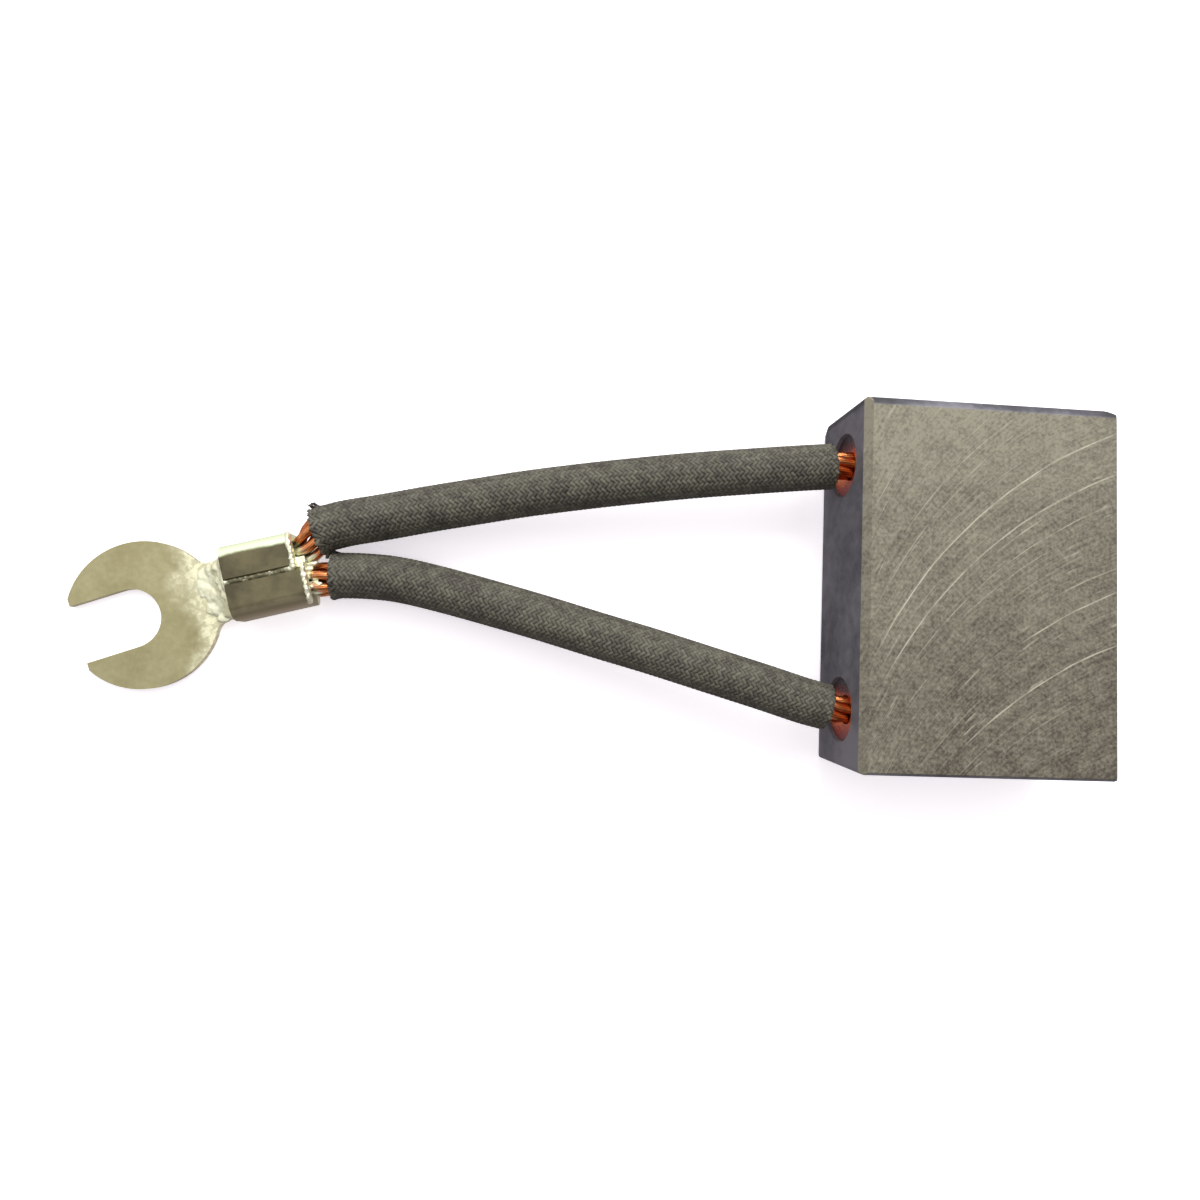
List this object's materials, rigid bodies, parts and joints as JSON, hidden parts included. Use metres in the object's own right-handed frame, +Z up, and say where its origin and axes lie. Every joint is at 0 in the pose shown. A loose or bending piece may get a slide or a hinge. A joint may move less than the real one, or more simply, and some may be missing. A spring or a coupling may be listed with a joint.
{
  "type": "carbon brush",
  "caption": "Metal-graphite motor brush: flat rectangular block with two sleeved copper rope shunts crimped and soldered into one fork terminal",
  "frame": {"origin": "middle of the block's lower face, with the shunts, sleeves, terminal and solder left out", "axes": "+X from the shunt face to the running face, +Y along the block's width, +Z up through its thickness"},
  "size_m": [0.0915, 0.032, 0.01],
  "materials": {
    "carbon": "ground metal graphite, dull with a slight sheen",
    "tamping": "packed copper powder, matt",
    "copper": "stranded copper wire, bright",
    "sleeve": "fine braided yarn sleeve",
    "terminal": "dull tinned brass sheet",
    "solder": "bright soft solder, lumpy"
  },
  "bodies": {
    "root": {"carbon_block": "carbon", "upper_tamping": "tamping", "lower_tamping": "tamping", "upper_rope": "copper", "lower_rope": "copper", "upper_sleeve": "sleeve", "lower_sleeve": "sleeve", "fork_terminal": "terminal", "front_solder": "solder", "mouth_solder": "solder"}
  },
  "joints": []
}
